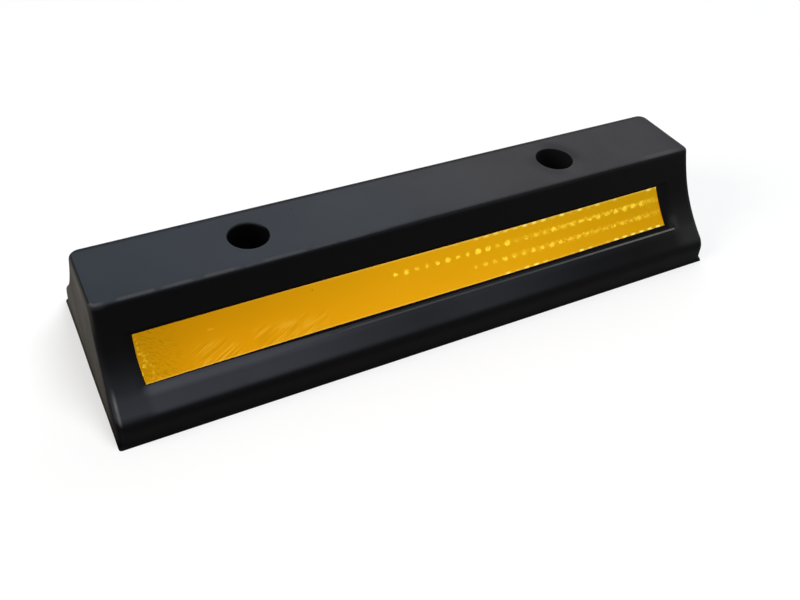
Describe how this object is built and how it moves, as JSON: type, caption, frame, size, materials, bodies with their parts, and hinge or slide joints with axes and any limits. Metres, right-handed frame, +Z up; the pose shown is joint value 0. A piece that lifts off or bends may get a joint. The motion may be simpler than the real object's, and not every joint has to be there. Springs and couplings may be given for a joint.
{
  "type": "wheel stop",
  "caption": "Low moulded rubber wheel stop with hollow-curved faces, recessed bolt sockets, a cored ribbed underside and a prismatic reflective strip along one face.",
  "frame": {"origin": "centre of the base, on the ground", "axes": "+X along the length, the reflective strip faces -Y, +Z up"},
  "size_m": [0.55, 0.1726, 0.0915],
  "materials": {
    "rubber": "satin black moulded rubber",
    "strip": "amber prismatic reflective sheet"
  },
  "bodies": {
    "root": {"rubber_body": "rubber", "reflective_strip": "strip"}
  },
  "joints": []
}
